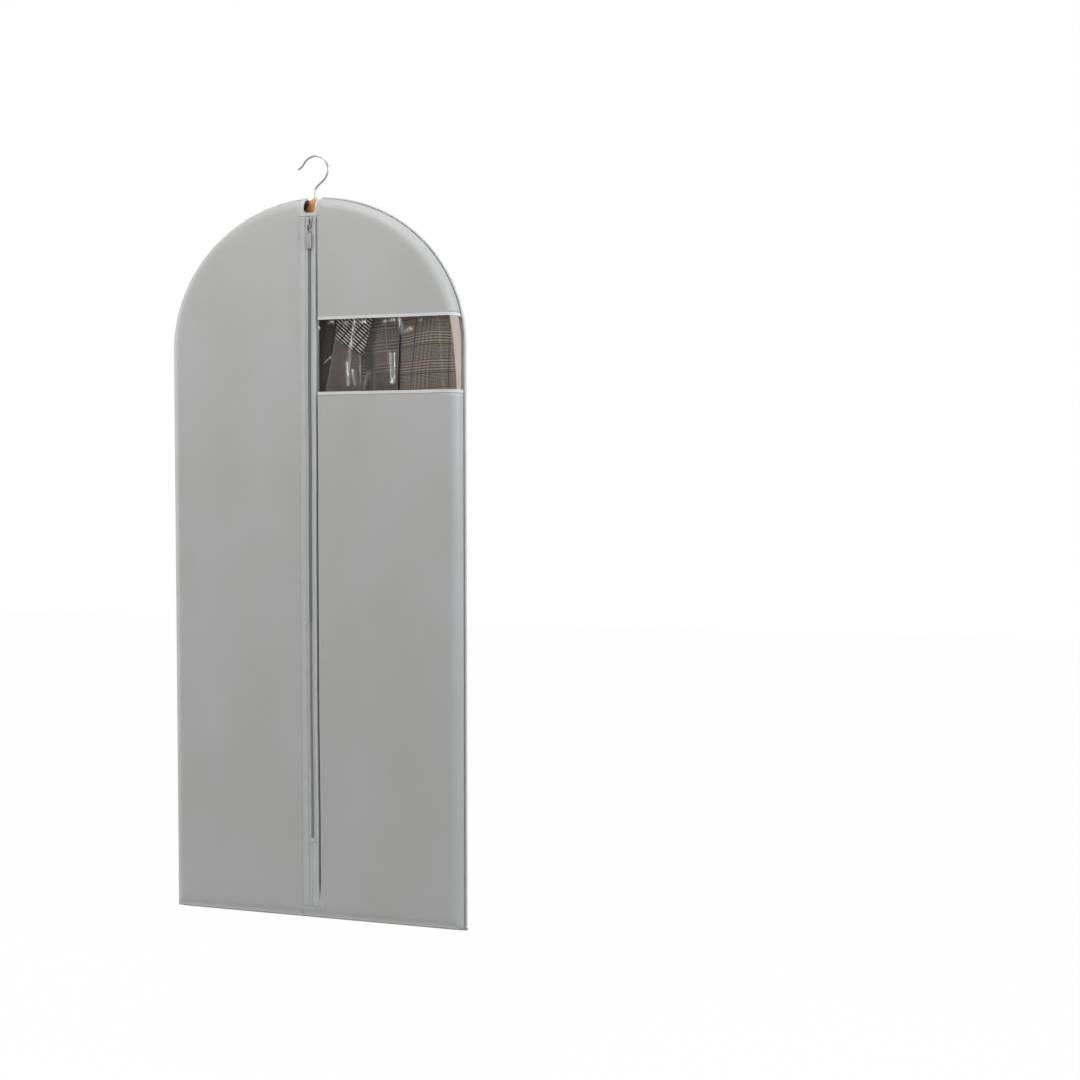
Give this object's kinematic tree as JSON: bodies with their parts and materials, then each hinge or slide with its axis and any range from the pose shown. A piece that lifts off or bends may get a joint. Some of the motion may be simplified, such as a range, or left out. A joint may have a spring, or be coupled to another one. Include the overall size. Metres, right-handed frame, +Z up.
{
  "type": "garment bag",
  "caption": "Full-length hanging garment bag with rounded shoulders, piped sides, a centre zip and a side window, on a wooden hanger",
  "frame": {"origin": "inside of the hanger hook's crown, where it rests on a rail", "axes": "+Z up along the hook's shank, -Y out of the zipped front, +X to the right of someone facing the zip"},
  "size_m": [0.6, 0.0555, 1.4489],
  "materials": {
    "bag_cloth": "satin",
    "trim_cloth": "satin",
    "clear_film": "gloss",
    "zip_teeth": "satin",
    "zip_metal": "satin",
    "hook_steel": "polished",
    "hanger_wood": "satin",
    "jacket_wool": "matte",
    "dark_knit": "matte"
  },
  "bodies": {
    "hook": {"hook_wire": "hook_steel", "hook_nut": "hook_steel"},
    "bag": {"hanger": "hanger_wood", "hook_collar": "hook_steel", "back_panel": "bag_cloth", "left_piping": "trim_cloth", "right_piping": "trim_cloth", "bottom_hem": "trim_cloth", "slot_facing": "bag_cloth", "zip_foot_patch": "bag_cloth", "jacket_back": "jacket_wool", "jacket_left_front": "jacket_wool", "jacket_right_front": "jacket_wool", "jacket_left_lapel": "jacket_wool", "jacket_right_lapel": "jacket_wool", "jacket_left_sleeve": "jacket_wool", "jacket_right_sleeve": "jacket_wool", "knit_top": "dark_knit"},
    "front_left": {"front_left_panel": "bag_cloth", "left_zip_tape": "trim_cloth", "left_zip_teeth": "zip_teeth", "left_top_stop": "zip_teeth", "bottom_stop": "zip_teeth"},
    "front_right": {"front_right_upper_panel": "bag_cloth", "window_upper_binding": "trim_cloth", "window_pane": "clear_film", "window_lower_binding": "trim_cloth", "front_right_lower_panel": "bag_cloth", "right_zip_tape": "trim_cloth", "right_zip_teeth": "zip_teeth", "right_top_stop": "zip_teeth"},
    "slider": {"slider_body": "zip_metal"},
    "link": {"pull_link": "zip_metal"},
    "tab": {"pull_tab": "zip_metal"}
  },
  "joints": [
    {"name": "hook_swivel", "type": "hinge", "parent": "hook", "child": "bag", "pos_m": [0, 0, -0.07483], "axis": [0, 0, 1], "continuous": true},
    {"name": "front_left_open", "type": "hinge", "parent": "bag", "child": "front_left", "pos_m": [-0.29505, -0.0013, -0.57483], "axis": [0, 0, -1], "range_deg": [0, 40]},
    {"name": "front_right_open", "type": "hinge", "parent": "bag", "child": "front_right", "pos_m": [0.29505, -0.0013, -0.57483], "axis": [0, 0, 1], "range_deg": [0, 40]},
    {"name": "zip_slide", "type": "slide", "parent": "bag", "child": "slider", "axis": [0, 0, -1], "range_m": [0, 1.1487]},
    {"name": "link_swing", "type": "hinge", "parent": "slider", "child": "link", "pos_m": [0, -0.0292, -0.13163], "axis": [-1, 0, 0], "range_deg": [0, 110]},
    {"name": "tab_swing", "type": "hinge", "parent": "link", "child": "tab", "pos_m": [0, -0.0292, -0.14563], "axis": [-1, 0, 0], "range_deg": [0, 50]}
  ],
  "couplings": [
    {"joint": "front_right_open", "follows": "front_left_open", "ratio": 1},
    {"joint": "zip_slide", "follows": "front_left_open", "m_per_rad": 1.6454}
  ]
}
